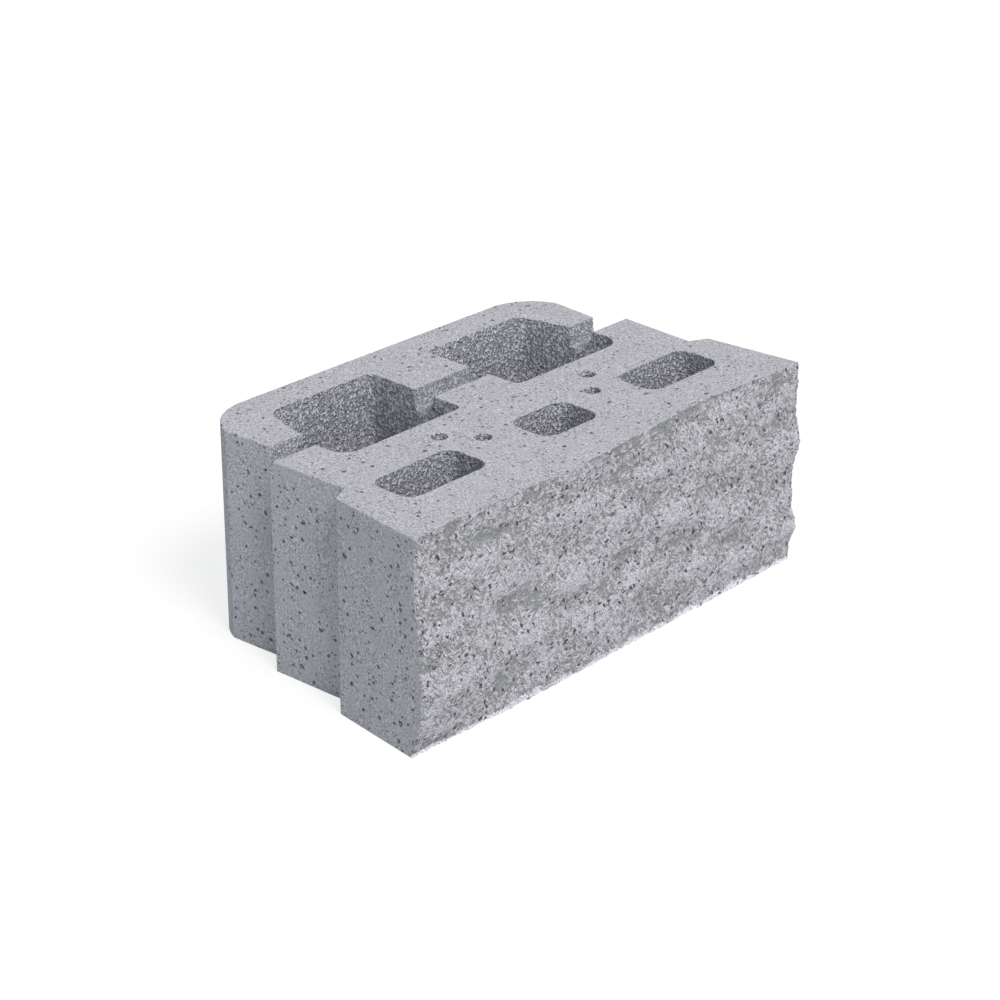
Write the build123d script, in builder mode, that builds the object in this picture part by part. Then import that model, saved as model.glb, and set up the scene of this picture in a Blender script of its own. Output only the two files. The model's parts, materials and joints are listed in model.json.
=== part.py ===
from build123d import *
import math
import os

# Retaining wall block: one dry-cast concrete block, split along its front.
# Millimetres. X runs along the face, Y to the back, Z up. The origin is the
# middle of the base. The block stands on its base, the split face towards -Y.

# Overall block
block_height = 200.0
block_depth = 309.0
face_width = 504.0

# Split face: how far the break stands forward and back of its mean line
relief_forward = 9.0
relief_back = 8.0

# Head: the wide front part, with sides that draw in towards the back
head_length = 98.0
head_side_draw = 10.4
head_corner_radius = 2.5
shoulder_slant = 8.5
shoulder_corner_radius = 4.0

# Body: behind the shoulder, narrower, its sides flaring a little to the rear step
body_front_width = 447.0
body_rear_width = 457.0
rear_step_setback = 190.5

# Tail: narrowest, from the step behind the body to the rounded back corners
tail_front_width = 414.0
tail_rear_width = 426.6
tail_corner_reach = 38.0
tail_corner_radius = 55.0

# Locating channel across the top, from side to side, just above the rear step
channel_setback = 186.5
channel_width = 25.0
channel_depth = 20.0
channel_front_lean = 6.0
channel_rear_lean = 2.5
channel_floor_radius = 3.0

# Two rear cores, one each side of the centre web, right through
centre_web = 72.0
rear_core_setback = 152.0
rear_core_depth = 114.0
rear_core_front_width = 143.4
rear_core_rear_width = 124.2
rear_core_straight = 34.0
rear_core_front_outer_radius = 19.0
rear_core_front_inner_radius = 8.0
rear_core_rear_inner_radius = 7.0
rear_core_rear_outer_radius = 17.0

# Three front cores behind the split face, right through
front_core_setback = 52.5
front_core_depth = 48.0
front_core_radius = 14.0
middle_core_width = 70.0
outer_core_width = 96.0
outer_core_spacing = 309.0

# Pin holes in two rows, a course's setback apart. The real depths aren't known. Here
# each hole ends a little higher than the one before it, so that no floors are level.
pin_hole_diameter = 15.0
pin_hole_depth = 100.0
pin_hole_unevenness = 1.0
front_pin_setback = 94.5
front_pin_spacing = 142.0
course_setback = 28.0
rear_pin_spacing = 192.0

# High and low places of the split face, as smooth swells: place along the face,
# height above the base, how far it stands forward (back, if negative), and its
# reach along the face and up the face
split_swells = [
    # Broad forms: full lower left corner, undercut foot, top drawn back right of the middle
    (-250, 58, 9.0, 80, 38),
    (-250, 120, 2.6, 60, 22),
    (-250, -4, -7.4, 90, 16),
    (-256, 204, 2.6, 36, 12),
    (-80, 204, 3.0, 60, 22),
    (118, 204, -7.6, 72, 24),
    (40, -10, -2.6, 250, 14),
    # Ridges and hollows of the left third
    (-215, 108, 3.0, 34, 14),
    (-160, 170, -2.6, 30, 10),
    (-190, 150, 2.4, 34, 16),
    (-150, 126, 3.4, 34, 15),
    (-125, 98, -3.0, 34, 12),
    (-118, 64, 3.4, 36, 15),
    (-150, 26, -2.0, 34, 14),
    # Ridges and hollows of the middle
    (-62, 156, 3.4, 34, 14),
    (-68, 125, -3.0, 32, 14),
    (-64, 94, 3.2, 30, 13),
    (-52, 68, -2.6, 36, 12),
    (-30, 36, 3.6, 36, 18),
    (-15, 170, -2.6, 26, 12),
    (5, 130, 3.4, 30, 16),
    (8, 88, -3.2, 34, 11),
    (12, 55, 3.4, 30, 16),
    (36, 160, 3.4, 24, 10),
    (58, 134, -3.2, 28, 14),
    (76, 106, 3.6, 28, 12),
    (92, 76, -3.4, 34, 14),
    (116, 46, 4.0, 28, 12),
    (60, 20, -2.4, 28, 12),
    # Ridges and hollows of the right third
    (138, 138, 3.4, 30, 12),
    (154, 108, -3.0, 32, 12),
    (170, 76, 3.6, 34, 13),
    (165, 48, -2.6, 28, 10),
    (178, 26, 3.0, 34, 12),
    (216, 150, -2.2, 28, 12),
    (250, 122, 6.0, 40, 16),
    (214, 80, -2.4, 26, 14),
    (250, 68, 1.6, 26, 12),
    (250, 36, 6.0, 50, 14),
]
split_step_along = 12.0
split_step_up = 6.0
split_overrun = 12.0

# The break's mean line, and distances from it to places further back
face_y = relief_forward - block_depth / 2
rear_y = block_depth / 2


def behind_face(setback):
    """Y of a place this far behind the mean line of the split face."""
    return face_y + setback


def round_corner(sketch, corner, radius):
    """Round the corner of the sketch that lies at this place."""
    fillet(sketch.vertices().sort_by_distance(corner)[0], radius)


def raw_relief(x, z):
    """Sum of the swells: the shape of the break before it is brought to its size."""
    return sum(
        forward * math.exp(-(((x - along) / reach) ** 2) - ((z - up) / rise) ** 2)
        for along, up, forward, reach, rise in split_swells
    )


def between(start, end, longest_step):
    """Evenly spaced places from start to end, both included."""
    steps = math.ceil((end - start) / longest_step)
    return [start + (end - start) * step / steps for step in range(steps + 1)]


# Split face: a smooth surface through a net of places on the break. The swells
# are scaled so that the highest and the lowest place have the stated relief.
places_along = between(-face_width / 2 - split_overrun, face_width / 2 + split_overrun, split_step_along)
places_up = between(-split_overrun, block_height + split_overrun, split_step_up)
raw_net = [[raw_relief(x, z) for x in places_along] for z in places_up]
raw_low = min(min(row) for row in raw_net)
raw_high = max(max(row) for row in raw_net)
relief_scale = (relief_forward + relief_back) / (raw_high - raw_low)
split_face = Face.make_surface_from_array_of_points(
    [
        [
            (x, behind_face(relief_back - (raw - raw_low) * relief_scale), z)
            for x, raw in zip(places_along, row)
        ]
        for z, row in zip(places_up, raw_net)
    ]
)

# Corners of the right half of the plan. The head's sides run on past the break
# at the same draw, so that the break trims them.
head_start = -relief_forward - split_overrun
draw_per_mm = head_side_draw / head_length
head_front_corner = (face_width / 2 - draw_per_mm * head_start, behind_face(head_start))
head_rear_corner = (face_width / 2 - head_side_draw, behind_face(head_length))
body_front_corner = (body_front_width / 2, behind_face(head_length + shoulder_slant))
body_rear_corner = (body_rear_width / 2, behind_face(rear_step_setback))
tail_front_corner = (tail_front_width / 2, behind_face(rear_step_setback))
tail_rear_corner = (tail_rear_width / 2, rear_y - tail_corner_reach)
corner_centre_y = rear_y - tail_corner_radius
corner_half_chord = math.sqrt(tail_corner_radius**2 - (tail_rear_corner[1] - corner_centre_y) ** 2)
back_end = (tail_rear_corner[0] - corner_half_chord, rear_y)

# Corners of the right rear core, and the line of the front cores
core_front_inner = (centre_web / 2, behind_face(rear_core_setback))
core_front_outer = (centre_web / 2 + rear_core_front_width, behind_face(rear_core_setback))
core_side_bend = (core_front_outer[0], core_front_outer[1] + rear_core_straight)
core_rear_outer = (centre_web / 2 + rear_core_rear_width, behind_face(rear_core_setback + rear_core_depth))
core_rear_inner = (centre_web / 2, core_rear_outer[1])
front_core_y = behind_face(front_core_setback + front_core_depth / 2)

# Pin holes in the order they are made: front pair, then rear pair
pin_places = [
    (side * spacing / 2, behind_face(setback))
    for spacing, setback in (
        (front_pin_spacing, front_pin_setback),
        (rear_pin_spacing, front_pin_setback + course_setback),
    )
    for side in (-1, 1)
]

# Channel's place
channel_front_y = behind_face(channel_setback)
channel_rear_y = channel_front_y + channel_width
channel_floor_z = block_height - channel_depth

with BuildPart() as wall_block:
    # Solid block on its plan, mirrored about the middle
    with BuildSketch() as plan:
        with BuildLine():
            Polyline(
                (0, rear_y),
                (0, head_front_corner[1]),
                head_front_corner,
                head_rear_corner,
                body_front_corner,
                body_rear_corner,
                tail_front_corner,
                tail_rear_corner,
            )
            TangentArc(back_end, tail_rear_corner, tangent=(1, 0))
            Line(back_end, (0, rear_y))
        make_face()
        round_corner(plan, head_rear_corner, head_corner_radius)
        round_corner(plan, body_front_corner, shoulder_corner_radius)
        mirror(about=Plane.YZ)
    extrude(amount=block_height)

    # The break trims the head
    split(bisect_by=split_face, keep=Keep.TOP)

    # Rear cores and front cores, right through
    with BuildSketch() as core_plan:
        with BuildLine():
            Polyline(
                core_front_inner,
                core_front_outer,
                core_side_bend,
                core_rear_outer,
                core_rear_inner,
                close=True,
            )
        make_face()
        round_corner(core_plan, core_front_inner, rear_core_front_inner_radius)
        round_corner(core_plan, core_front_outer, rear_core_front_outer_radius)
        round_corner(core_plan, core_rear_outer, rear_core_rear_outer_radius)
        round_corner(core_plan, core_rear_inner, rear_core_rear_inner_radius)
        mirror(about=Plane.YZ)
        with Locations((0, front_core_y)):
            RectangleRounded(middle_core_width, front_core_depth, front_core_radius)
            with GridLocations(outer_core_spacing, 0, 2, 1):
                RectangleRounded(outer_core_width, front_core_depth, front_core_radius)
    extrude(amount=block_height, mode=Mode.SUBTRACT)

    # Locating channel: its walls lean in to a narrower floor
    with BuildSketch(Plane.YZ) as channel_section:
        with BuildLine():
            Polyline(
                (channel_front_y, block_height),
                (channel_front_y + channel_front_lean, channel_floor_z),
                (channel_rear_y - channel_rear_lean, channel_floor_z),
                (channel_rear_y, block_height),
                close=True,
            )
        make_face()
        fillet(channel_section.vertices().group_by(Axis.Y)[0], channel_floor_radius)
    extrude(amount=body_rear_width, both=True, mode=Mode.SUBTRACT)

    # Pin holes, blind, open at the top
    for number, (x, y) in enumerate(pin_places):
        with Locations((x, y, block_height)):
            Hole(pin_hole_diameter / 2, pin_hole_depth - number * pin_hole_unevenness)

wall_block.part.label = "wall_block"
os.makedirs("parts", exist_ok=True)
export_step(wall_block.part, "parts/wall_block.step")
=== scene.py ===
# %% [markdown]
# # A retaining wall block of split concrete
# The block is one casting. Stiff, almost dry concrete is pressed into a steel mould, pushed out,
# and when it has hardened two blocks are split apart, so that each has one rough face. Everything
# else keeps the mould's shape. The measured block is already there as a CAD model, and this lesson
# dresses it: it roughens the split face, chips the edges, opens air holes, and then makes the four
# finishes that the concrete shows.

# %% Load the measured block
import json
import math
import random
from functools import cached_property

import bmesh
import bpy
from mathutils import Matrix, Vector, noise
from mathutils.bvhtree import BVHTree

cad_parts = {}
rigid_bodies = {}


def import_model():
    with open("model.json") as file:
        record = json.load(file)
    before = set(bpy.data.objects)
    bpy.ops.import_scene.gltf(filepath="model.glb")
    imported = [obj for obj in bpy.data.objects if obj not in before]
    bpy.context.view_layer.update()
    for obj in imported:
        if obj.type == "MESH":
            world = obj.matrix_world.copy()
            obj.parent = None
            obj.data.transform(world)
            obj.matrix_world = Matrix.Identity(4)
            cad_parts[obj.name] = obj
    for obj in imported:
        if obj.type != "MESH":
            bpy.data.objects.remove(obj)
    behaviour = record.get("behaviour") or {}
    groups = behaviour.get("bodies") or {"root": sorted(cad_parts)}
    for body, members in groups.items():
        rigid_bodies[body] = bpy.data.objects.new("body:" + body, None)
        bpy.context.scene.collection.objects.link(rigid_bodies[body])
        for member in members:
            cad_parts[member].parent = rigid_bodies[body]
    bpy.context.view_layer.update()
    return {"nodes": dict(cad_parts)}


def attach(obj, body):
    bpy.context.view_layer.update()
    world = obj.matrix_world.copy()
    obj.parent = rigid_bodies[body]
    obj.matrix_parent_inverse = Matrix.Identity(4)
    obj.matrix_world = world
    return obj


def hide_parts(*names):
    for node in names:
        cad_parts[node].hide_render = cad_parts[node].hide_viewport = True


for left_over in list(bpy.data.objects):
    bpy.data.objects.remove(left_over)
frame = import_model()
cad_block = frame["nodes"]["wall_block"]
MM = 0.001

# %% [markdown]
# ## The camera
# The picture was taken from the block's front left, a little above it. A camera is an object whose
# matrix says where it stands and which way it looks. Here the direction is written as two angles,
# round the block and above the floor, with a slight tilt of the picture as a third, and the matrix
# is built from the three directions that follow from them. That is easier to read and to change
# than a rotation in Euler angles.

# %% Set the camera where the picture was taken
camera_place = Vector((-1.45431, -1.33061, 1.03178))
round_block, above_floor, tilt = (math.radians(angle) for angle in (-47.675, 25.301, 0.508))

backward = Vector((
    math.sin(round_block) * math.cos(above_floor),
    -math.cos(round_block) * math.cos(above_floor),
    math.sin(above_floor),
))
level_right = Vector((0, 0, 1)).cross(backward).normalized()
level_up = backward.cross(level_right)
right = level_right * math.cos(tilt) + level_up * math.sin(tilt)
up = level_up * math.cos(tilt) - level_right * math.sin(tilt)
camera_turn = Matrix((right, up, backward)).transposed()

camera = bpy.data.objects.new("camera", bpy.data.cameras.new("camera"))
camera.data.lens = 87.4
camera.data.sensor_width = 36
camera.matrix_world = Matrix.Translation(camera_place) @ camera_turn.to_4x4()
bpy.context.scene.collection.objects.link(camera)
bpy.context.scene.camera = camera
print("camera stands", round(camera_place.length, 2), "m from the middle of the block's base")

# %% [markdown]
# ## A copy of the block to work on
# The measured block is never changed. Its faces go into a new mesh, which will stand in for it.
# The file that they come from splits every face from its neighbours, so that points at the same
# place are merged first.

# %% Copy the faces and merge their points
same_place = 0.002 * MM

body = bmesh.new()
body.from_mesh(cad_block.data)
bmesh.ops.remove_doubles(body, verts=body.verts, dist=same_place)
measured_surface = BVHTree.FromBMesh(body)
open_edges = sum(not edge.is_manifold for edge in body.edges)
print("copied", len(body.verts), "points, with", open_edges, "open edges")

# %% [markdown]
# ## Stock in front of the split
# A split face is made by breaking away stock. The same works here: the front is first pushed
# forward until it is flat, along the line of the head's sides, and a rough volume then cuts it
# back. The edges between the break and the flat sides come out raw, as they do on the real block.
# The flat faces still come as many triangles. They are joined into whole faces, and points that
# nearly touch are merged, so that the edges can be bevelled cleanly.

# %% Push the front forward and join the flat faces
front_limit, stock_front = -130 * MM, -172 * MM
head_length, head_side_draw = 98 * MM, 10.4 * MM
side_margin = 3 * MM
flat_within = math.radians(0.3)
shortest_edge = 0.7 * MM

front_faces = [
    face for face in body.faces
    if face.normal.y < -0.2 and face.calc_center_median().y < front_limit
]
front_points = {point for face in front_faces for point in face.verts}
half_width = max(abs(point.co.x) for point in front_points)
for point in front_points:
    forward = point.co.y - stock_front
    point.co.y = stock_front
    if abs(point.co.x) > half_width - side_margin:
        point.co.x += math.copysign(head_side_draw / head_length * forward, point.co.x)
body.normal_update()
bmesh.ops.dissolve_limit(body, angle_limit=flat_within, verts=body.verts, edges=body.edges)
bmesh.ops.remove_doubles(body, verts=body.verts, dist=shortest_edge)
print("stock in front:", len(front_faces), "faces flattened,", len(body.faces), "left in all")

# %% [markdown]
# ## Where the edges run
# Chips will be knocked out of the block's edges, so the edges are listed before anything rounds
# them: where each one starts and ends, and which way is outward from it. Only edges that stand out
# count, because an inner corner can't be knocked, and only those at a real corner, because the
# facets of a rounded corner meet at a small angle. The edges that run into the stock are left out.

# %% List the edges that stand out
edge_angle = math.radians(26)
stock_margin = 12 * MM


def run_of(edge):
    """Where an edge starts and ends, and the direction half way between its two faces."""
    away = sum((face.normal for face in edge.link_faces), Vector()).normalized()
    return edge.verts[0].co.copy(), edge.verts[1].co.copy(), away


arrises = [
    run_of(edge) for edge in body.edges
    if edge.is_convex and edge.calc_face_angle(0) > edge_angle
    and min(point.co.y for point in edge.verts) > front_limit - stock_margin
]
edge_length = sum((end - start).length for start, end, _ in arrises)
print(len(arrises), "edges stand out,", round(edge_length, 1), "m in all")

# %% [markdown]
# ## From edit mesh to object
# Two tools are needed again and again. One puts a mesh into the scene as an object. The other adds
# a modifier and makes its result the object's own mesh, so that the next step starts from plain
# faces.

# %% Helpers for objects and modifiers
def add_object(name, mesh):
    """Put a mesh into the scene under this name. A bmesh is turned into a mesh first."""
    if isinstance(mesh, bmesh.types.BMesh):
        filled = bpy.data.meshes.new(name)
        mesh.to_mesh(filled)
        mesh.free()
        mesh = filled
    made = bpy.data.objects.new(name, mesh)
    bpy.context.scene.collection.objects.link(made)
    return made


def modify(target, kind, **settings):
    """Add one modifier with these settings and make its result the object's mesh."""
    modifier = target.modifiers.new(kind.lower(), kind)
    for name, value in settings.items():
        setattr(modifier, name, value)
    before = target.data
    seen = target.evaluated_get(bpy.context.evaluated_depsgraph_get())
    target.data = bpy.data.meshes.new_from_object(seen)
    target.modifiers.clear()
    bpy.data.meshes.remove(before)
    print(kind.lower(), "leaves", len(target.data.polygons), "faces")


# %% [markdown]
# ## Worn edges
# A grain at an edge has little to hold it, so that the edges of cast concrete are never sharp. A
# narrow bevel, the same width everywhere, makes them a little round. A wider or uneven one would
# fold over itself where the points lie close, at the tight corners of the cores, so that the chips
# are cut later and by another tool.

# %% Bevel the block
worn_width = 0.7 * MM

block = add_object("concrete_block", body)
modify(
    block, "BEVEL", width=worn_width, segments=2, limit_method="ANGLE", angle_limit=edge_angle,
    use_clamp_overlap=False, loop_slide=False,
)

# %% [markdown]
# ## The break
# A crack runs through the cement and round or through the stone grains, so that the face is a
# field of small planes, each tipped its own way, with steps between them, pits where a grain went
# with the other half, and fine sand texture over it all. Sculpting brushes or a displacement
# texture could give this. Working it out as one height at a time keeps every size in hand, in
# millimetres, and the same each run. The broad swells are read from the measured block, so that
# the fine relief rides on its true shape.

# %% Planes and pits
PLANE_HEIGHT, TIP_ACROSS, TIP_UP, PIT_SIZE, PIT_THERE = range(0, 25, 5)
scatter = 31.7


def own_number(centre, kind):
    """A number from 0 to 1 that a grain has to itself, and another one for each kind."""
    return 0.5 + 0.5 * noise.cell(centre * scatter + Vector((kind, 0, 0)))


def bend(place, size):
    """A smooth push, by which straight joints and round grains lose their neatness."""
    return Vector([noise.noise(place / size + Vector((apart, 0, 0))) for apart in (0, 20, 40)])


def plates(place, size, step, slope):
    """Small broken planes of this size, with this step between them and this slope of their own."""
    centre = noise.voronoi(place / size)[1][0]
    away = place / size - centre
    height, tip_across, tip_up = (
        own_number(centre, kind) - 0.5 for kind in (PLANE_HEIGHT, TIP_ACROSS, TIP_UP)
    )
    return step * height + slope * size * (tip_across * away.x + tip_up * away.z)


def pits(place, size, share, radius, deepest):
    """Round pits of about this radius, in this share of the cells of this size."""
    centre = noise.voronoi(place / size)[1][0]
    own_radius = radius * (0.6 + 0.8 * own_number(centre, PIT_SIZE))
    away = (place / size - centre).length * size / own_radius
    there = own_number(centre, PIT_THERE) < share and away < 1
    return deepest * (1 - away * away) if there else 0


# %% Height of the fine relief at one place
bend_size, bend_reach = 6 * MM, 1.8 * MM
lump_size, lump_height = 22 * MM, 0.8 * MM
sand_size, sand_height = 1.9 * MM, 0.28 * MM
# The lumps come in rounds, each finer than the last by this factor, and lower
fading, finer_by, rounds = 0.8, 2.2, 3


def fine_relief(x, z):
    """How far the break stands forward of its swells at this place on the face."""
    place = Vector((x, 0, z))
    place += bend_reach * bend(place, bend_size)
    lumps = lump_height * noise.fractal(place / lump_size, fading, finer_by, rounds)
    broken = plates(place, size=9 * MM, step=0.7 * MM, slope=0.22)
    broken += plates(place, size=4 * MM, step=0.5 * MM, slope=0.35)
    sand = sand_height * noise.noise(place / sand_size)
    holes = pits(place, size=8 * MM, share=0.45, radius=1.2 * MM, deepest=1.6 * MM)
    return lumps + broken + sand - holes


samples = [fine_relief(step * MM, 0.7 * step * MM) for step in range(-240, 240)]
print("fine relief from", round(min(samples) / MM, 1), "to", round(max(samples) / MM, 1), "mm")

# %% [markdown]
# ## Cutting the stock back to the break
# The heights are laid out as a fine net in front of the block and closed to a box behind it. A
# Boolean modifier then keeps what the block and this rough volume share. Displacing the block's
# own front would need its outline to match the net point for point, and the Boolean takes care of
# that: it also gives the ragged line where the break meets the flat sides.

# %% Heights over a net
net_step = 1.3 * MM
net_left, net_right = -264 * MM, 264 * MM
net_low, net_high = -8 * MM, 208 * MM
foot_lip, foot_reach, foot_ripple = 2.6 * MM, 3 * MM, 8 * MM
# The net is larger than the measured face. Past these limits it repeats the swell at the limit.
swell_side, swell_low, swell_high = 250 * MM, 0.5 * MM, 199.5 * MM


def break_line(x, z):
    """Y of the break: the measured swell, the fine relief and the thin lip along the foot."""
    over_x = max(-swell_side, min(swell_side, x))
    over_z = max(swell_low, min(swell_high, z))
    swell, _, _, _ = measured_surface.ray_cast(Vector((over_x, -1, over_z)), Vector((0, 1, 0)))
    uneven = 0.8 + 0.5 * noise.noise(Vector((x, 0, 0)) / foot_ripple)
    lip = foot_lip * uneven * math.exp(-max(0, z) / foot_reach)
    return swell.y - fine_relief(x, z) - lip


columns = round((net_right - net_left) / net_step)
rows = round((net_high - net_low) / net_step)
net_x = [net_left + (net_right - net_left) * column / columns for column in range(columns + 1)]
net_z = [net_low + (net_high - net_low) * row / rows for row in range(rows + 1)]
net = [[break_line(x, z) for x in net_x] for z in net_z]
print("net of", columns, "by", rows, "squares")

# %% Close the net to a volume and intersect
volume_back = 300 * MM
in_row = columns + 1


def net_square(row, column):
    """The four points of one square of the net, in turn."""
    first = row * in_row + column
    return first, first + 1, first + in_row + 1, first + in_row


points = [(x, y, z) for z, line in zip(net_z, net) for x, y in zip(net_x, line)]
volume_faces = [net_square(row, column) for row in range(rows) for column in range(columns)]
first_back = len(points)
corners = (0, columns, rows * in_row + columns, rows * in_row)
points += [(points[corner][0], volume_back, points[corner][2]) for corner in corners]

low_edge = list(range(columns + 1))
right_edge = [row * in_row + columns for row in range(rows + 1)]
high_edge = [rows * in_row + column for column in range(columns, -1, -1)]
left_edge = [row * in_row for row in range(rows, -1, -1)]
for side, edge_points in enumerate((low_edge, right_edge, high_edge, left_edge)):
    back_points = first_back + side, first_back + (side + 1) % 4
    volume_faces.append((*reversed(edge_points), *back_points))
volume_faces.append(tuple(first_back + side for side in (3, 2, 1, 0)))

rough_mesh = bpy.data.meshes.new("rough_volume")
rough_mesh.from_pydata(points, [], volume_faces)
rough_volume = add_object("rough_volume", rough_mesh)
modify(block, "BOOLEAN", operation="INTERSECT", object=rough_volume, solver="MANIFOLD")
bpy.data.objects.remove(rough_volume)

# %% [markdown]
# ## One lump to cut with
# Air that is caught against the mould leaves small holes with ragged rims, and knocks take chips
# out of the edges. A dark spot in a material would stay flat when the light moves, so each one is
# cut, by a small lump: a ball that noise has pushed out of round. One ball is made, and each lump
# starts from its points. All lumps go into one mesh, so that a single Boolean takes them away.
# Every lump writes on its faces what it cuts, and the Boolean hands that on to the faces that it
# leaves.

# %% A list that gathers the lumps
AIR_HOLE, CHIP = 1, 2
bump_height, bump_detail, lump_shift = 0.55, 1.6, 5.1
keep_apart = 0.65
draw = random.Random(11)

ball = bmesh.new()
bmesh.ops.create_icosphere(ball, subdivisions=2, radius=1)
ball_points = [point.co.copy() for point in ball.verts]
ball_faces = [[point.index for point in face.verts] for face in ball.faces]
ball.free()
lump_points, lump_faces, lump_kinds, taken = [], [], [], []
print("each lump has", len(ball_points), "points and", len(ball_faces), "faces")


def add_lump(middle, turn, size, kind):
    """Add a lump this long, wide and high, turned this way, unless it would meet another one."""
    reach = keep_apart * max(size)
    if any((middle - other).length < reach + other_reach for other, other_reach in taken):
        return
    taken.append((middle, reach))
    grown = Matrix.Diagonal((*(part / 2 for part in size), 1))
    placed = Matrix.Translation(middle) @ turn.to_4x4() @ grown
    seed = Vector((len(taken) * lump_shift, 0, 0))
    first = len(lump_points)
    for point in ball_points:
        bump = bump_height * noise.noise(point * bump_detail + seed)
        lump_points.append(placed @ (point * (1 + bump)))
    lump_faces.extend([first + corner for corner in face] for face in ball_faces)
    lump_kinds.extend(kind for _ in ball_faces)


# %% [markdown]
# ## Air holes
# The larger holes have their own places, and a seeded random choice adds the small ones on the
# top, the two sides and the back. A ray from outside finds the surface that each one sits on.

# %% Where the larger holes lie
# On top, in millimetres: along the face, behind the block's middle, width, and where the hole is
# a long one, its length
top_holes = [
    (-6, 33.8, 2.6, 8.5), (-151.7, -138.2, 4.4), (-83.7, -138.2, 4.6), (134, -138.2, 4.2),
    (-174, -110.8, 3.6), (-215, -114.8, 4.2), (-205, -101.5, 3.4), (42.7, -127.5, 3.6),
    (112, -112.2, 3.8), (-48, -52.8, 3.6), (-110, -37.8, 3.4), (155.7, -39.5, 3.6),
    (192.7, 5.8, 3.8), (-167.7, 136.8, 3.4), (-104, 137.2, 3.6), (18.3, 136.8, 3.2),
    (-57, 149, 3.2), (136.7, 131.2, 3.4), (0, 114.5, 3.2), (-8.3, 98.2, 3.4),
    (-190, 89.5, 3.6), (-18.5, -35.8, 3.0), (48, -92.5, 3.0), (-60, -104, 3.2),
]
# On the left side, in millimetres: behind the block's middle, above the base, width
left_holes = [
    (7.7, 153.8, 5.4), (-56.9, 152, 5.6), (91.9, 168.8, 4.2), (71.9, 176.4, 3.6),
    (28.8, 180, 4.4), (-75.7, 183, 3.6), (-93.3, 181, 3.6), (97.9, 118.7, 4), (23.4, 90.9, 3.6),
    (8.8, 89, 3.8), (-92.7, 99.7, 3.8), (-9.2, 58.9, 4.2), (14.8, 15.8, 4.4), (-104.3, 112.6, 3.6),
    (21.2, 28.2, 4.2), (-63.9, 36.3, 4), (-99.9, 19.9, 4), (-126.8, 27.2, 4.2), (-124, 9, 4),
    (-64.7, 63.1, 3.8), (-0.6, 168.2, 3.8), (72.2, 12.9, 4.2), (116.2, 62.5, 3.8),
]
print(len(top_holes), "larger holes on top,", len(left_holes), "on the left side")

# %% Place the air holes
tries_on_top, tries_on_each_side, tries_on_back = 150, 90, 60
top_along, top_behind = (-240 * MM, 240 * MM), (-140 * MM, 150 * MM)
side_behind, back_along = (-140 * MM, 120 * MM), (-190 * MM, 190 * MM)
above_base = (5 * MM, 195 * MM)
square_on = 0.9
surface = BVHTree.FromObject(block, bpy.context.evaluated_depsgraph_get())


def cut_hole(outside, inward, width, length=None):
    """Put a lump where the ray from outside meets the block square on."""
    found, facing, _, _ = surface.ray_cast(outside, inward)
    if found is None or facing.dot(inward) > -square_on:
        return
    spin = Matrix.Rotation(draw.uniform(-0.5, 0.5), 3, "Z")
    turn = facing.to_track_quat("Z", "Y").to_matrix() @ spin
    size = (length or width * draw.uniform(1.0, 1.5), width, 2 * width * draw.uniform(0.35, 0.55))
    add_lump(found, turn, size, AIR_HOLE)


down, frontward = Vector((0, 0, -1)), Vector((0, -1, 0))
rightward, leftward = Vector((1, 0, 0)), Vector((-1, 0, 0))
for along, behind, *sizes in top_holes:
    cut_hole(Vector((along * MM, behind * MM, 1)), down, *(size * MM for size in sizes))
for behind, above, width in left_holes:
    cut_hole(Vector((-1, behind * MM, above * MM)), rightward, width * MM)
for _ in range(tries_on_top):
    start = Vector((draw.uniform(*top_along), draw.uniform(*top_behind), 1))
    cut_hole(start, down, draw.uniform(1.8, 2.8) * MM)
for side, inward in ((-1, rightward), (1, leftward)):
    for _ in range(tries_on_each_side):
        start = Vector((side, draw.uniform(*side_behind), draw.uniform(*above_base)))
        cut_hole(start, inward, draw.uniform(1.9, 3.4) * MM)
for _ in range(tries_on_back):
    start = Vector((draw.uniform(*back_along), 1, draw.uniform(*above_base)))
    cut_hole(start, frontward, draw.uniform(1.9, 3.6) * MM)
print(len(taken), "air holes")

# %% [markdown]
# ## Chips
# An edge loses a grain here and there. The chips lie along the edges that the mould gave and,
# closer together, along the raw edges of the break, which are read from the mesh: each has the
# break on one side only. A chip is longer than it is deep, because it runs along the edge.

# %% Find the raw edges of the break
# A face of the break looks forward, if only a little, and never quite sideways
least_forward, side_on = 0.05, 0.985


def on_break(middle, facing):
    """Whether a face with this middle and direction belongs to the break."""
    return middle.y < front_limit and facing.y < -least_forward and abs(facing.x) < side_on


cut_back = bmesh.new()
cut_back.from_mesh(block.data)
raw_edges = [
    run_of(edge) for edge in cut_back.edges
    if sum(on_break(face.calc_center_median(), face.normal) for face in edge.link_faces) == 1
]
cut_back.free()
print(len(raw_edges), "raw edges round the break")

# %% Place the chips and cut everything out
chip_outside = 0.2


def chip_edge(start, end, away, spacing, smallest, largest):
    """Knock chips of these widths out of one edge, on average one in this spacing."""
    along = (end - start).normalized()
    turn = Matrix((along, away.cross(along), away)).transposed()
    for _ in range(int((end - start).length / spacing + draw.random())):
        width = draw.uniform(smallest, largest)
        middle = start.lerp(end, draw.random()) + chip_outside * width * away
        add_lump(middle, turn, (width * draw.uniform(1.0, 2.4), width, width), CHIP)


holes = len(taken)
for run in raw_edges:
    chip_edge(*run, spacing=9 * MM, smallest=1.6 * MM, largest=3.4 * MM)
for run in arrises:
    chip_edge(*run, spacing=20 * MM, smallest=1.6 * MM, largest=3.2 * MM)
print(len(taken) - holes, "chips")

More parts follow.
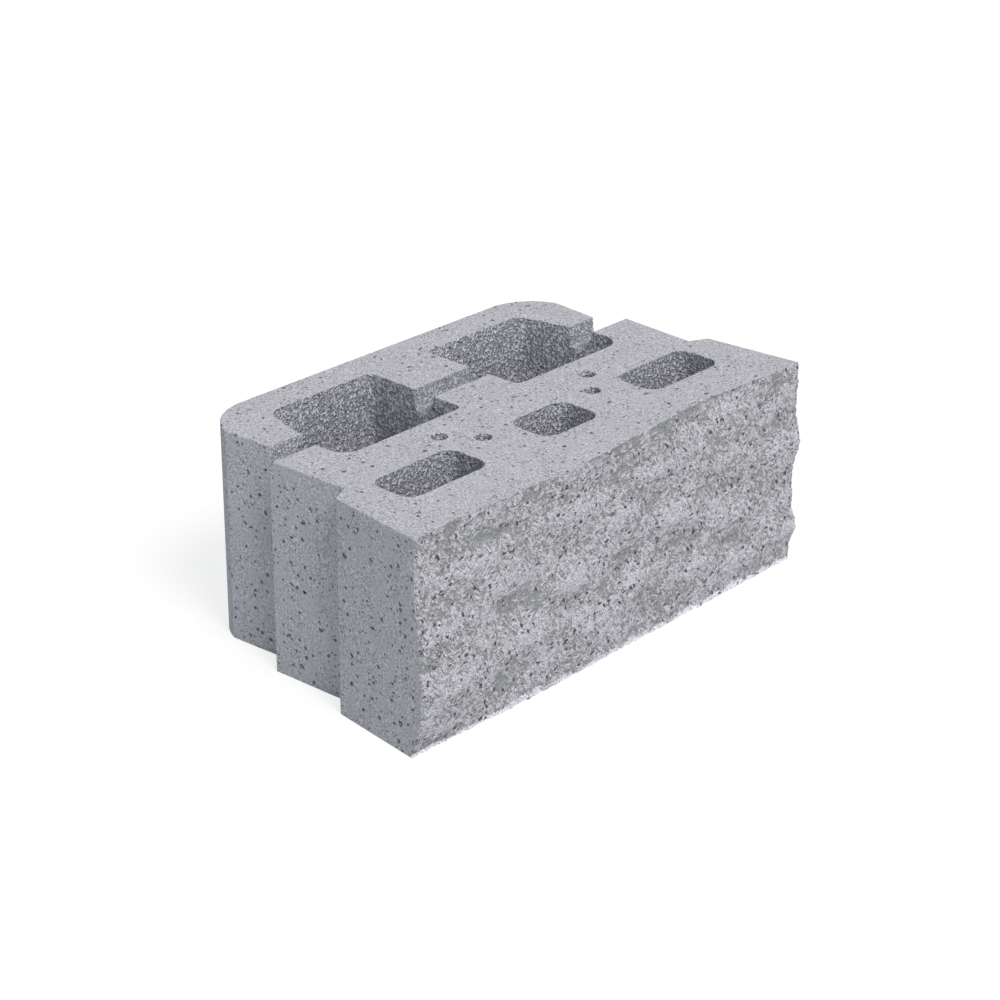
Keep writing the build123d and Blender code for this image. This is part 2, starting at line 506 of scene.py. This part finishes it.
lump_mesh = bpy.data.meshes.new("lumps")
lump_mesh.from_pydata(lump_points, [], lump_faces)
lump_mesh.attributes.new("cut_by", "INT", "FACE").data.foreach_set("value", lump_kinds)
lump_cutter = add_object("lump_cutter", lump_mesh)
modify(block, "BOOLEAN", operation="DIFFERENCE", object=lump_cutter, solver="MANIFOLD")
bpy.data.objects.remove(lump_cutter)

# %% [markdown]
# ## Which face is which
# The concrete has four kinds of surface: the close skin that the mould's smooth steel leaves
# outside, the open, dragged grain of the cores, where the steel was drawn out through the mix, a
# gentler grain in the channel, and the break. Each gets a material of its own. A face is told
# apart by where it lies and which way it looks. The break also gets a number at each point, how
# far it lies behind the places close by and, at half weight, behind those further off. The finish
# reads this number later to paint shade into the hollows and paint light onto the crests. The thin
# lip along the foot counts as a crest, so that it gets painted light too.

# %% How deep in a hollow each place of the break lies
near, wide, wide_weight = 4 * MM, 18 * MM, 0.5
lip_height, lip_patch, lip_painted_light = 4 * MM, 5 * MM, 2


def smoothed(line, spread):
    """Each value replaced by the mean of itself and its neighbours on both sides."""
    reach = round(spread / net_step)
    around = [line[max(0, place - reach):place + reach + 1] for place in range(len(line))]
    return [sum(part) / len(part) for part in around]


def smoothed_net(spread):
    """The net of the break with everything smaller than the spread smoothed away."""
    rows_done = [smoothed(line, spread) for line in net]
    return list(zip(*[smoothed(line, spread) for line in zip(*rows_done)]))


near_net, wide_net = smoothed_net(near), smoothed_net(wide)


def hollow_at(x, z):
    """How far the break lies behind its surroundings, near and wide, in millimetres."""
    column = max(0, min(columns, round((x - net_left) / (net_right - net_left) * columns)))
    row = max(0, min(rows, round((z - net_low) / (net_high - net_low) * rows)))
    here = net[row][column]
    behind = here - near_net[row][column] + wide_weight * (here - wide_net[row][column])
    # The lip along the foot counts as standing forward, so that it gets painted light.
    lip = max(0, 1 - z / lip_height) * (1 + noise.noise(Vector((x, 0, z)) / lip_patch))
    return behind / MM - lip_painted_light * lip


half_way_up = [hollow_at(x, 100 * MM) for x in net_x]
deepest, highest = round(max(half_way_up), 1), round(-min(half_way_up), 1)
print("half way up, hollows reach", deepest, "mm back and crests", highest, "mm forward")

# %% Sort the faces and write the hollows down
SKIN, CORE, BREAK, CHANNEL = range(4)
channel_floor, channel_rim = 179 * MM, 199.5 * MM
channel_front, channel_rear = 40.5 * MM, 66.5 * MM
body_side, back_side = 205 * MM, 150 * MM
tail_side, tail_back = 160 * MM, 125 * MM


def kind_of(face, cut):
    """The kind of surface, by what cut the face, or else by its place and direction."""
    x, y, z = face.center
    if cut == CHIP or on_break(face.center, face.normal):
        return BREAK
    if cut == AIR_HOLE:
        return CORE
    if channel_floor < z < channel_rim and channel_front < y < channel_rear:
        return CHANNEL
    upright = abs(face.normal.z) < 0.5
    outer = abs(x) > body_side or y > back_side or (abs(x) > tail_side and y > tail_back)
    return CORE if upright and not outer else SKIN


mesh = block.data
hollow = mesh.attributes.new("hollow", "FLOAT", "POINT")
hollow.data.foreach_set("value", [
    hollow_at(point.co.x, point.co.z) if point.co.y < front_limit else 0
    for point in mesh.vertices
])
cuts = mesh.attributes["cut_by"].data
kinds = [kind_of(face, cuts[face.index].value) for face in mesh.polygons]
mesh.polygons.foreach_set("use_smooth", [kind == BREAK for kind in kinds])
print("faces of skin, core, break and channel:", [kinds.count(kind) for kind in range(4)])
print("triangles:", sum(len(face.vertices) - 2 for face in mesh.polygons))

# %% [markdown]
# ## Shaders as sums
# A finish is worked out like any quantity: grain plus dust, less the pits. Nodes say that, but a
# long row of them is hard to read. The small class below wraps one output of a node, so that
# Python's own signs add the Math nodes, and one method adds every other kind of node: its settings
# first, because they decide which sockets it has, and then the values and links.

# %% A value with operators
class Value:
    """One output of a node. An operator on it adds a Math node, whose output is again a Value."""

    def __init__(self, finish, socket):
        self.finish = finish
        self.socket = socket

    def other(self, output):
        """Another output of the same node."""
        return Value(self.finish, self.socket.node.outputs[output])

    def math(self, operation, first, second):
        """What a Math node makes of two Values or numbers."""
        return self.finish.node("ShaderNodeMath", {"operation": operation}, {0: first, 1: second})

    def __add__(self, other):
        return self.math("ADD", self, other)

    def __sub__(self, other):
        return self.math("SUBTRACT", self, other)

    def __rsub__(self, other):
        return self.math("SUBTRACT", other, self)

    def __mul__(self, other):
        return self.math("MULTIPLY", self, other)

    def __lt__(self, other):
        return self.math("LESS_THAN", self, other)

    __radd__ = __add__
    __rmul__ = __mul__


# %% A finish that holds the nodes
class Finish:
    """The nodes of a material, or of the sky, in the making."""

    def __init__(self, owner, shader="Principled BSDF"):
        owner.use_nodes = True
        self.owner = owner
        self.tree = owner.node_tree
        self.surface = self.tree.nodes[shader].inputs

    @cached_property
    def place(self):
        """The place of a point on the block, with which every finish of it starts."""
        return self.node("ShaderNodeTexCoord", output="Object")

    def feed(self, sockets, inputs):
        """Link each Value to its socket, and write each number or colour into its own."""
        for name, value in inputs.items():
            if isinstance(value, Value):
                self.tree.links.new(value.socket, sockets[name])
            else:
                sockets[name].default_value = value

    def node(self, kind, settings=None, inputs=None, output=0):
        """Add a node of this type with these settings and inputs, and give one of its outputs."""
        made = self.tree.nodes.new(kind)
        for name, value in (settings or {}).items():
            setattr(made, name, value)
        self.feed(made.inputs, inputs or {})
        return Value(self, made.outputs[output])

    def dress(self, inputs):
        """Feed the shader itself."""
        self.feed(self.surface, inputs)
        print(self.owner.name, "has", len(self.tree.nodes), "nodes")


def new_finish(name):
    """A Finish for a new material of this name."""
    return Finish(bpy.data.materials.new(name))


def srgb(*levels):
    """A colour as a screen shows it, 0 to 255, as the light values that a shader needs."""
    return (*(((level / 255 + 0.055) / 1.055) ** 2.4 for level in levels), 1)


# %% Places, ramps, mixes and bumps
def coordinate(finish, axis):
    """How far a point lies from the middle of the base, along X, Y or Z."""
    return finish.node("ShaderNodeSeparateXYZ", {}, {0: finish.place}, output=axis)


def scaled(finish, size, stretch, shift, lean):
    """The place in the block, leant sideways by these degrees, counted in lumps of this size."""
    leant = finish.node(
        "ShaderNodeVectorRotate", {"rotation_type": "Y_AXIS"},
        {"Vector": finish.place, "Angle": math.radians(lean)},
    )
    return finish.node(
        "ShaderNodeVectorMath", {"operation": "MULTIPLY_ADD"},
        {0: leant, 1: [part / size for part in stretch], 2: shift},
    )


def ramp(finish, value, low, high, to_low=0, to_high=1):
    """A value brought smoothly from one range to another and held at its ends."""
    return finish.node(
        "ShaderNodeMapRange", {"interpolation_type": "SMOOTHSTEP"},
        {"Value": value, "From Min": low, "From Max": high, "To Min": to_low, "To Max": to_high},
    )


def blend(finish, share, one, other):
    """One colour where the share is 0, the other where it is 1."""
    return finish.node("ShaderNodeMix", {"data_type": "RGBA"}, {0: share, 6: one, 7: other}, output=2)


def shade(finish, colour, level):
    """A colour made darker or lighter by a level that varies over the surface."""
    grey = finish.node("ShaderNodeCombineColor", {}, {0: level, 1: level, 2: level})
    settings = {"data_type": "RGBA", "blend_type": "MULTIPLY"}
    return finish.node("ShaderNodeMix", settings, {0: 1, 6: colour, 7: grey}, output=2)


def bumped(finish, height, depth):
    """The way a surface faces where it rises by this height, as a part of the depth."""
    inputs = {"Height": height, "Distance": depth, "Strength": 1}
    return finish.node("ShaderNodeBump", {}, inputs, output="Normal")


# %% Grain and flecks
rim_grain, rim_raggedness = 0.3, 0.3
smallest_fleck = 0.35


def grain(finish, size, detail=2, stretch=(1, 1, 1), shift=0, curl=0, lean=0):
    """Noise from 0 to 1, about 0.5 on average, in lumps of this size. Curl makes curved strokes."""
    place = scaled(finish, size, stretch, (shift, 0, 0), lean)
    inputs = {"Vector": place, "Scale": 1, "Detail": detail, "Distortion": curl}
    return finish.node("ShaderNodeTexNoise", {}, inputs)


def flecks(finish, size, share, reach, stretch=(1, 1, 1), shift=0, edge=0.06, lean=0):
    """1 in scattered ragged spots: this share of the cells has one, with at most this radius."""
    ragged = grain(finish, rim_grain * size, detail=1, shift=shift + 3).other("Color")
    pushed = finish.node(
        "ShaderNodeVectorMath", {"operation": "MULTIPLY_ADD"},
        {0: ragged, 1: [rim_raggedness] * 3, 2: (shift, shift, 0)},
    )
    cells = scaled(finish, size, stretch, pushed, lean)
    distance = finish.node("ShaderNodeTexVoronoi", {}, {"Vector": cells, "Scale": 1})
    own = finish.node("ShaderNodeSeparateColor", {}, {0: distance.other("Color")})
    radius = reach * (smallest_fleck + (1 - smallest_fleck) * own)
    return ramp(finish, radius - distance, low=0, high=edge) * (own.other("Green") < share)


# %% [markdown]
# ## The mould's skin
# Against the steel, fine cement paste and sand close the surface to a pale, slightly blue grey. It
# isn't even: the paste has two tints, pale and dark sand shows through as fine salt and pepper,
# and small open pores are painted dark, as painted shade. An image of concrete would repeat and
# stretch at the corners.
# Noise that is read from the place in the block runs through it like the real grain does, round
# every corner without a seam.

# %% Skin
# Dark sand grains take this colour, and so do the pores, where it is painted shade.
fleck_and_pore_shade_colour = srgb(80, 80, 94)
grey_paste, blue_paste = srgb(189, 189, 192), srgb(184, 185, 197)
cover = 0.85

skin = new_finish("moulded_skin")
cloud = grain(skin, 40 * MM)
salt = grain(skin, 1.9 * MM)
tint = ramp(skin, grain(skin, 3.5 * MM, shift=24), low=0.4, high=0.6)
patches = grain(skin, 18 * MM, detail=1, shift=20)
open_grain = ramp(skin, patches, low=0.36, high=0.52, to_low=0.5)
light_sand = flecks(skin, 4.5 * MM, share=0.35, reach=0.3, shift=14, edge=0.3)
pepper = flecks(skin, 4.2 * MM, share=0.5, reach=0.28, shift=4)
dark_sand = flecks(skin, 8 * MM, share=0.45, reach=0.27, shift=17)
# Pores: sunk by bump and painted dark, which is painted shade.
painted_shade_pores = flecks(skin, 13 * MM, share=0.5, reach=0.17, stretch=(0.75, 1, 1), shift=9)
level = 1.02 + 0.16 * (cloud - 0.5) + 2.1 * open_grain * (salt - 0.5) + 0.1 * light_sand
paste = shade(skin, blend(skin, tint, grey_paste, blue_paste), level)
spots = 1 - (1 - cover * pepper) * (1 - cover * dark_sand) * (1 - cover * painted_shade_pores)
skin.dress({
    "Base Color": blend(skin, spots, paste, fleck_and_pore_shade_colour),
    "Roughness": 0.9 - 0.1 * salt,
    "Normal": bumped(skin, salt - pepper - dark_sand - 2 * painted_shade_pores, depth=0.5 * MM),
    "Specular IOR Level": 0.25,
})

# %% [markdown]
# ## The grain of the cores and the channel
# The steel cores are drawn out upwards while the mix is soft. That drags the paste off the grains,
# so that the walls are open and coarse, and each grain of two or three millimetres stands out with
# a shadow beside it. The same kinds of noise do it, coarser, darker and with more depth, a little
# longer upwards than across. The walls get painted light towards the rim, where light reaches in,
# and those of the narrow front cores painted shade, as less light gets into them. The channel has
# the same grain, only smaller and gentler, so that one function makes both finishes.

# %% Core and channel
drawn_stone = srgb(186, 188, 197)
front_cores_end, rear_cores_start = -55 * MM, 0
rim_light_from, rim_light_to = 150 * MM, 195 * MM


def dragged(name, tone, rough, size):
    """Open grain of this mean tone, this rough, where a core counts 1, with grains this size."""
    finish = new_finish(name)
    cloud = grain(finish, 30 * MM)
    coarse = grain(finish, size, detail=3, stretch=(1, 1, 0.8), shift=2, curl=0.6)
    fine = grain(finish, 1.2 * MM, detail=1, shift=5)
    # Pores: sunk by bump and painted dark, which is painted shade.
    painted_shade_pores = flecks(finish, 7 * MM, share=0.5, reach=0.26, shift=8)
    relief = ramp(finish, coarse, low=0.36, high=0.64)
    behind, above = coordinate(finish, "Y"), coordinate(finish, "Z")
    # Painted shade in the narrow front cores and painted light towards the rim, for how far light
    # reaches in.
    front_core_painted_shade = ramp(finish, behind, front_cores_end, rear_cores_start, to_low=0.87)
    rim_painted_light = ramp(finish, above, rim_light_from, rim_light_to, to_low=1, to_high=1.2)
    level = tone + rough * (0.86 * (relief - 0.5) + 0.8 * (fine - 0.5)) + 0.12 * (cloud - 0.5)
    stone = shade(finish, drawn_stone, level * front_core_painted_shade * rim_painted_light)
    finish.dress({
        "Base Color": blend(finish, 0.7 * painted_shade_pores, stone, fleck_and_pore_shade_colour),
        "Roughness": 0.95 - 0.1 * relief,
        "Normal": bumped(finish, rough * (relief + 0.4 * fine) - painted_shade_pores, depth=1.6 * MM),
        "Specular IOR Level": 0.2,
    })
    return finish


core = dragged("core_grain", tone=0.97, rough=1, size=2.5 * MM)
channel = dragged("channel_grain", tone=0.82, rough=0.7, size=2 * MM)

# %% [markdown]
# ## The broken face
# On the break the crests are pale, partly with painted light, and full of short, crisp strokes,
# where the crack tore along small planes. The strokes lie in two sets that lean opposite ways, in
# patches. The hollows, with painted shade, and some places under the top edge are darker and
# smoother, and small long pits are left where grains went with the other half; the pits are sunk by
# bump and painted dark as shade. Along the foot the thin lip is painted light, nearly white in
# places. The relief itself is in the mesh. The finish adds the strokes, as noise that is stretched
# and turned, the painted shade of the hollows and painted light of the crests from the number noted
# at each point, the pits, and a fine bump.

# %% Strokes and pits of the break
split = new_finish("split_face")
falling = grain(split, 2.3 * MM, detail=3, stretch=(0.38, 1, 1), shift=6, curl=1.1, lean=-50)
rising = grain(split, 2.3 * MM, detail=3, stretch=(0.4, 1, 1), shift=30, curl=1.1, lean=20)
patches = ramp(split, grain(split, 20 * MM, shift=11), low=0.52, high=0.58)
strokes = falling + patches * (rising - falling)
fine = grain(split, 1.2 * MM, shift=3, curl=1)
# Pits: sunk by bump and painted dark, which is painted shade.
pores_along = flecks(
    split, 4.6 * MM, share=0.65, reach=0.3, stretch=(0.5, 1, 1), shift=5, lean=12
)
pores_down = flecks(
    split, 6 * MM, share=0.55, reach=0.28, stretch=(0.55, 1, 1), shift=27, lean=-65
)
painted_shade_pores = 1 - (1 - pores_along) * (1 - pores_down)
print("strokes and pits take", len(split.tree.nodes), "nodes")

# %% Crests, hollows and foot of the break
# The hollow colour carries painted shade and the crest colour painted light, besides the dark and
# pale strokes.
hollow_shade_stone, crest_light_stone = srgb(152, 156, 159), srgb(223, 220, 228)
dark_from, dark_to = 191 * MM, 206 * MM
foot_full, foot_end = 2 * MM, 4.5 * MM

# Painted shade in the hollows and painted light on the crests follow this number.
depth = split.node("ShaderNodeAttribute", {"attribute_name": "hollow"}, output="Fac")
above = coordinate(split, "Z")
cloud = grain(split, 22 * MM, detail=3, stretch=(0.5, 1, 1), lean=8)
waver = grain(split, 20 * MM, shift=40) - 0.5
under_rim = ramp(split, above + 120 * MM * waver, dark_from, dark_to, to_high=0.1)
rise = 0.35 * (cloud - 0.5) - 0.085 * depth - under_rim
open_stone = ramp(split, rise, low=-0.12, high=0.03, to_low=0.5)
ragged_above = above - 22 * MM * waver - 8 * MM * (strokes - 0.5)
# Painted light along the foot: the thin lip is made nearly white in places, in colour and in level.
foot_painted_light = ramp(split, ragged_above, foot_full, foot_end, to_low=1, to_high=0)
crest = 1.14 * open_stone * (strokes - 0.5) + rise
pale = ramp(split, crest, low=-0.12, high=0.06, to_low=0.3 * (1 - open_stone))
pale_or_foot = pale + 0.9 * foot_painted_light * (1 - pale)
level = (1 + 0.34 * foot_painted_light) * (1 + 2.4 * open_stone * (fine - 0.5))
stone = shade(split, blend(split, pale_or_foot, hollow_shade_stone, crest_light_stone), level)
split.dress({
    "Base Color": blend(split, 0.9 * painted_shade_pores, stone, fleck_and_pore_shade_colour),
    "Roughness": 0.92 - 0.1 * fine,
    "Normal": bumped(split, 2 * strokes + fine - painted_shade_pores, depth=1.6 * MM),
    "Specular IOR Level": 0.25,
})

# %% [markdown]
# ## Into the frame
# The dressed mesh takes its four finishes, takes the measured block's place and moves with its body.

# %% Materials and frame
mesh.materials.clear()
for finish in (skin, core, split, channel):
    mesh.materials.append(finish.owner)
mesh.polygons.foreach_set("material_index", kinds)
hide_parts("wall_block")
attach(block, "root")
print("finishes:", [material.name for material in mesh.materials])

# %% [markdown]
# ## Floor and light
# The picture has a plain white ground. A floor that is white for the camera alone keeps it so
# without more light on the block: seen directly it glows a little and still darkens in the block's
# shadow, while for bounced light it is a pale grey with a touch of blue-green. The sky is made the
# same way, white for the camera and darker for the rest. It gives the sides their even light, and
# one wide sun from above the front, a little to the left, lights the break and the top.

# %% Floor and sky
half_floor = 8


def for_camera(finish, lighting, shown):
    """One colour for the light that reaches the block, and another one for the camera."""
    seen = finish.node("ShaderNodeLightPath", output="Is Camera Ray")
    return blend(finish, seen, (*lighting, 1), (*shown, 1))


ground = new_finish("studio_floor")
ground.dress({
    "Base Color": for_camera(ground, (0.61, 0.645, 0.65), (0.3, 0.3, 0.3)),
    "Emission Color": for_camera(ground, (0, 0, 0), (0.76, 0.76, 0.76)),
    "Emission Strength": 1,
    "Roughness": 1,
    "Specular IOR Level": 0,
})

floor_ways = ((-1, -1), (1, -1), (1, 1), (-1, 1))
floor_corners = [(half_floor * x, half_floor * y, 0) for x, y in floor_ways]
floor_mesh = bpy.data.meshes.new("studio_floor")
floor_mesh.from_pydata(floor_corners, [], [(0, 1, 2, 3)])
floor_mesh.materials.append(ground.owner)
floor = add_object("studio_floor", floor_mesh)

sky = Finish(bpy.data.worlds.new("sky"), "Background")
sky.dress({"Color": for_camera(sky, (0.372, 0.39, 0.392), (1, 1, 1))})
bpy.context.scene.world = sky.owner

# %% Sun
towards_sun = Vector((-0.2, -0.9, 1.1))

sun = bpy.data.objects.new("sun", bpy.data.lights.new("sun", "SUN"))
sun.data.energy = 2.35
sun.data.color = (1, 0.96, 0.957)
sun.data.angle = math.radians(25)
sun.rotation_euler = towards_sun.to_track_quat("Z", "Y").to_euler()
bpy.context.scene.collection.objects.link(sun)
bpy.context.scene.view_settings.view_transform = "Standard"
sun_height = math.degrees(math.asin(towards_sun.normalized().z))
print("sun stands", round(sun_height), "degrees above the floor")
